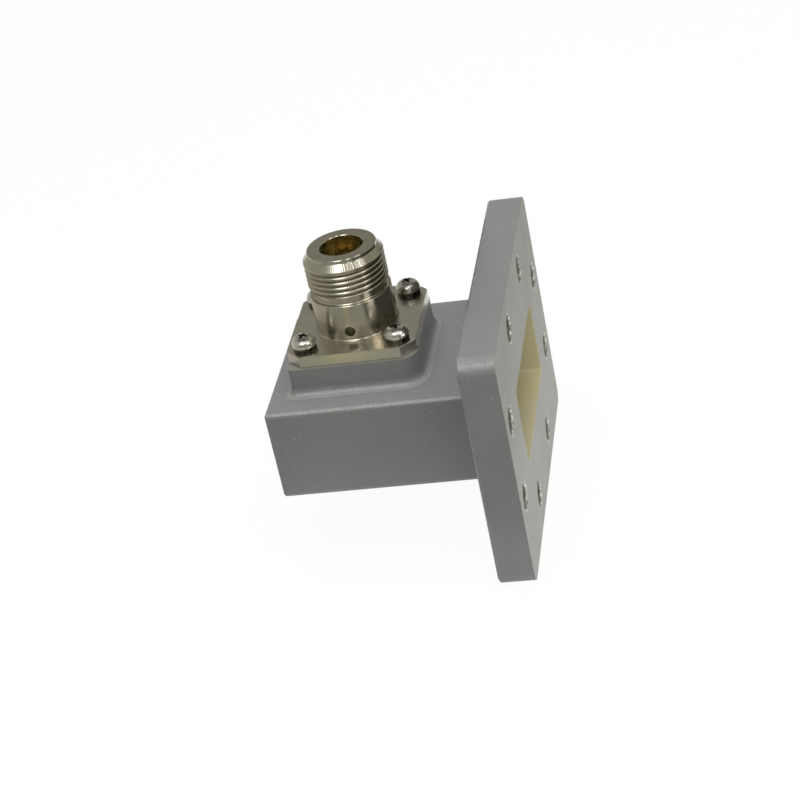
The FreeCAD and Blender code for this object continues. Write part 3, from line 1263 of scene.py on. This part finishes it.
@dataclass
class Plug(Assembly):
    """The resin that fills the cross hole, dished where it cured."""

    slot: str = "dark_filling"
    node: str = "captivation_plug"
    finishes: tuple[Finish, ...] = (CuredResin(),)
    height: float = 19.54
    radius: float = 1.05
    inner: float = 1.2
    outer: float = 7.5
    dish: float = 0.35
    rings: int = 6
    steps: int = 48

    def pieces(self) -> list[Piece]:
        """Turn the plug with a dished end, lay it along -Y and put it in its hole.

        Returns:
            The plug, alone in its list.
        """
        outline = [(0.0, self.inner), (self.radius, self.inner), (self.radius, self.outer)]
        for step in range(1, self.rings):
            share = 1 - step / self.rings
            outline.append((self.radius * share, self.outer - self.dish * (1 - share ** 2)))
        outline.append((0.0, self.outer - self.dish))
        made = turned("resin_plug", outline, self.steps)
        made.rotation_euler = (QUARTER_TURN, 0.0, 0.0)
        fix(made)
        smooth(made, DOMED_BELOW)
        settle(made, (JACK_X, 0.0, self.height))
        return [made]


@dataclass
class InnerParts:
    """The sleeve, the contact and the probe, which stay as their CAD nodes."""

    finishes: tuple[tuple[str, Finish], ...] = (
        ("dielectric_sleeve", WaxyWhite()),
        ("centre_contact", Metal("gold_plate", colour_of(222, 178, 92), colour_of(196, 150, 70), 0.2)),
        ("coupling_probe", Metal("brass_rod", colour_of(206, 174, 104), colour_of(178, 146, 82), 0.3)),
    )

    def build(self) -> None:
        """Give each node its material in place of the plain one."""
        for name, finish in self.finishes:
            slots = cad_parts[name].data.materials
            slots.clear()
            slots.append(finish.material())
            LOG.info("%s: kept from the CAD, with %s", name, slots[0].name)


# The studio


@dataclass(frozen=True)
class Lamp:
    """A soft rectangular lamp that points at the adapter, in millimetres and watts."""

    name: str
    place: Place
    size: Point
    watts: float
    tone: Colour = (1.0, 0.995, 0.985)
    in_metal: bool = False

    def turn(self) -> Quaternion:
        """The turn that points the lamp at the adapter."""
        return (Vector(ADAPTER_MIDDLE) - Vector(self.place)).to_track_quat("-Z", "Y")

    def hang(self) -> None:
        """Add the lamp to the scene."""
        deselect()
        at = Vector(self.place) * METRES
        bpy.ops.object.light_add(type="AREA", location=at, rotation=self.turn().to_euler())
        made = newest(self.name)
        made.data.shape = "RECTANGLE"
        made.data.size, made.data.size_y = (length * METRES for length in self.size)
        made.data.energy = self.watts
        made.data.color = self.tone
        made.visible_glossy = self.in_metal


@dataclass(frozen=True)
class Card:
    """A card that only shows in metal, in millimetres and degrees; unturned, it lies flat."""

    name: str
    place: Place
    turn: Place
    size: Point
    finish: Finish

    def hang(self) -> None:
        """Add the card to the scene, where its material sees it as 1000 mm square."""
        deselect()
        at = Vector(self.place) * METRES
        angles = tuple(math.radians(angle) for angle in self.turn)
        bpy.ops.mesh.primitive_plane_add(size=1.0, location=at, rotation=angles)
        made = newest(self.name)
        made.scale = (self.size[0] * METRES, self.size[1] * METRES, 1.0)
        made.data.materials.append(self.finish.material())
        made.visible_camera = False
        made.visible_diffuse = False
        made.visible_shadow = False
        made.visible_transmission = False


@dataclass
class Studio:
    """The camera, the floor, the lamps, the cards and the world round the adapter."""

    camera_place: Place = (59.958, -359.841, 210.415)
    camera_turn: Place = (59.6240, 10.7832, 7.2288)
    lens: float = 96.2833
    floor_size: float = 4000.0
    floor_level: float = -24.6
    soft_light: float = 0.25
    window: Lamp = Lamp("window", (93.0, -279.0, 503.0), (675.0, 300.0), 2.1, (1.0, 0.99, 0.97), True)
    overhead: Lamp = Lamp("overhead", (-60.0, 90.0, 700.0), (500.0, 500.0), 3.0)
    side_fill: Lamp = Lamp("side_fill", (476.0, -140.0, 50.0), (300.0, 120.0), 0.87)
    blind_size: Point = (375.0, 330.0)
    jack_level: float = 32.0
    blind_share: float = 0.9
    blind_shift: float = 75.0

    def camera(self) -> None:
        """Put the camera where the photograph was taken from."""
        deselect()
        turn = tuple(math.radians(angle) for angle in self.camera_turn)
        bpy.ops.object.camera_add(location=Vector(self.camera_place) * METRES, rotation=turn)
        made = bpy.context.object
        made.data.sensor_width = 36.0
        made.data.lens = self.lens
        made.data.clip_start = 0.01
        made.data.clip_end = 20.0
        bpy.context.scene.camera = made

    def floor(self) -> None:
        """Lay the pale floor just under the adapter."""
        deselect()
        level = self.floor_level * METRES
        bpy.ops.mesh.primitive_plane_add(size=self.floor_size * METRES, location=(0.0, 0.0, level))
        made = newest("floor")
        made.data.materials.append(StudioPaper().material())

    def world(self) -> None:
        """A white surround to the camera and in metal, and a dimmer one for soft light."""
        world = bpy.data.worlds.new("studio")
        bpy.context.scene.world = world
        nodes = Nodes(world)
        soft, white = (
            nodes.node("ShaderNodeBackground", None, {"Color": WHITE, "Strength": strength}).outputs[0]
            for strength in (self.soft_light, 1.0)
        )
        nodes.end(nodes.blend(nodes.seen(), soft, white))

    def blind(self) -> Card:
        """The blind of upright slats between the jack and the window lamp.

        Returns:
            The blind, square to the lamp.
        """
        aim = self.window.turn()
        jack = Vector((JACK_X, 0.0, self.jack_level))
        place = jack.lerp(Vector(self.window.place), self.blind_share)
        place = place + aim @ Vector((self.blind_shift, 0.0, 0.0))
        turn = tuple(math.degrees(angle) for angle in aim.to_euler())
        return Card("blind", tuple(place), turn, self.blind_size, BlindSlats())

    def standing_card(self, name: str, azimuth: float, distance: float, levels: Point,
                      width: float, tone: Colour) -> Card:
        """A card that stands upright beside the jack.

        Args:
            name: The card's name.
            azimuth: Its direction from the jack, in degrees from -Y towards +X.
            distance: How far it is from the jack's axis.
            levels: The heights of its lower and upper edge.
            width: Its width.
            tone: How light it is, in linear red, green and blue.

        Returns:
            The card.
        """
        low, high = levels
        way = math.radians(azimuth)
        place = (JACK_X + distance * math.sin(way), -distance * math.cos(way), (low + high) / 2)
        return Card(name, place, (90.0, 0.0, azimuth), (width, high - low), CardPaper(name, tone))

    def cards(self) -> list[Card]:
        """The room that the metal shows: dim walls, a dark ceiling, far glowing panels, and near the jack
        dark, olive and pale strips and a shade card that put painted reflections and painted shade into the
        nickel.

        Returns:
            The cards.
        """
        standing = (
            ("left_wall", -90.0, 700.0, (-24.0, 1000.0), 1500.0, (0.5, 0.49, 0.43)),
            ("back_wall", 180.0, 750.0, (-24.0, 1000.0), 1600.0, (0.36, 0.35, 0.31)),
            ("front_wall", 0.0, 700.0, (-24.0, 600.0), 1500.0, (0.22, 0.21, 0.19)),
            ("right_wall", 90.0, 750.0, (-24.0, 1000.0), 1500.0, (0.48, 0.47, 0.4)),
            ("right_panel", 56.0, 700.0, (340.0, 520.0), 280.0, (4.8, 4.2, 3.2)),
            ("olive_panel", -22.0, 690.0, (330.0, 500.0), 170.0, (1.3, 1.35, 0.7)),
            # Strips close to the jack, seen only in its metal: painted reflections as dark, olive and pale
            # streaks
            ("dark_strip", -60.0, 60.0, (-14.0, -3.3), 5.0, (0.05, 0.05, 0.03)),
            ("olive_strip", -11.0, 60.0, (-6.6, 0.4), 11.0, (0.78, 0.82, 0.3)),
            ("low_pale_strip", 46.0, 22.0, (12.5, 17.8), 0.7, (0.95, 0.92, 0.8)),
            ("pale_strip", 52.0, 22.0, (17.8, 19.5), 5.5, (3.2, 3.1, 2.8)),
        )
        facing_x = (90.0, 0.0, 90.0)
        others = (
            # A dark card just behind the flange: painted shade in the nickel's reflection of the flange
            ("shade", (-9.0, 9.0, 16.0), facing_x, (40.0, 44.0), (0.06, 0.06, 0.045)),
            ("left_ground", (-205.0, 50.0, -22.0), ORIGIN, (300.0, 200.0), (0.58, 0.56, 0.5)),
            ("ceiling", (0.0, 225.0, 1100.0), ORIGIN, (1800.0, 1350.0), (0.13, 0.13, 0.11)),
            ("front_ground", (-60.0, -375.0, -22.0), ORIGIN, (900.0, 650.0), (0.43, 0.42, 0.37)),
        )
        cards = [self.standing_card(*row) for row in standing]
        for name, place, turn, size, tone in others:
            cards.append(Card(name, place, turn, size, CardPaper(name, tone)))
        return cards

    def build(self) -> None:
        """Set up the studio."""
        self.camera()
        self.floor()
        self.world()
        for item in (self.window, self.overhead, self.side_fill, self.blind(), *self.cards()):
            item.hang()
        bpy.context.scene.view_settings.view_transform = "Standard"


def main() -> None:
    """Build the studio and dress each sub-assembly in order."""
    logging.basicConfig(level=logging.INFO, format="%(message)s", stream=sys.stdout)
    Studio().build()
    for assembly in (Casting(), JackShell(), Screws(), Washers(), Plug(), InnerParts()):
        assembly.build()
    deselect()


if __name__ == "__main__":
    main()
